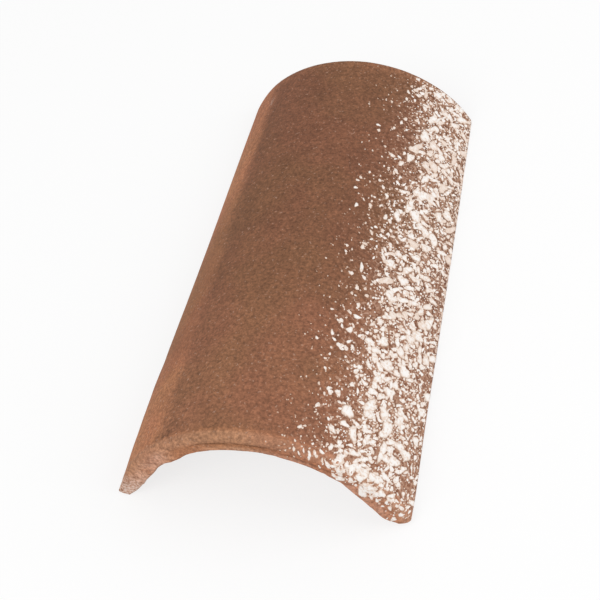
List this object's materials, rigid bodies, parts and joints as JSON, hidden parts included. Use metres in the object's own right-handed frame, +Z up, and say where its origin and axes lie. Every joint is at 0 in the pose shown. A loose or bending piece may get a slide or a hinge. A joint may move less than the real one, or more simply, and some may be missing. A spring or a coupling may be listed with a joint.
{
  "type": "clay roof tile",
  "caption": "Half-barrel roof tile of fired clay with sides trimmed to a taper, lying on two long bevelled feet, with a rounded nose at its wide end and dried lime spatter along one flank.",
  "frame": {"origin": "on the floor plane under the middle of the tile's length and width", "axes": "+Z up, +Y along the tile from its wide lower end to its narrow head end, +X to the right seen from the wide end"},
  "size_m": [0.2166, 0.4106, 0.087],
  "materials": {
    "fired_clay": "matt unglazed brown clay"
  },
  "bodies": {
    "root": {"roof_tile": "fired_clay"}
  },
  "joints": []
}
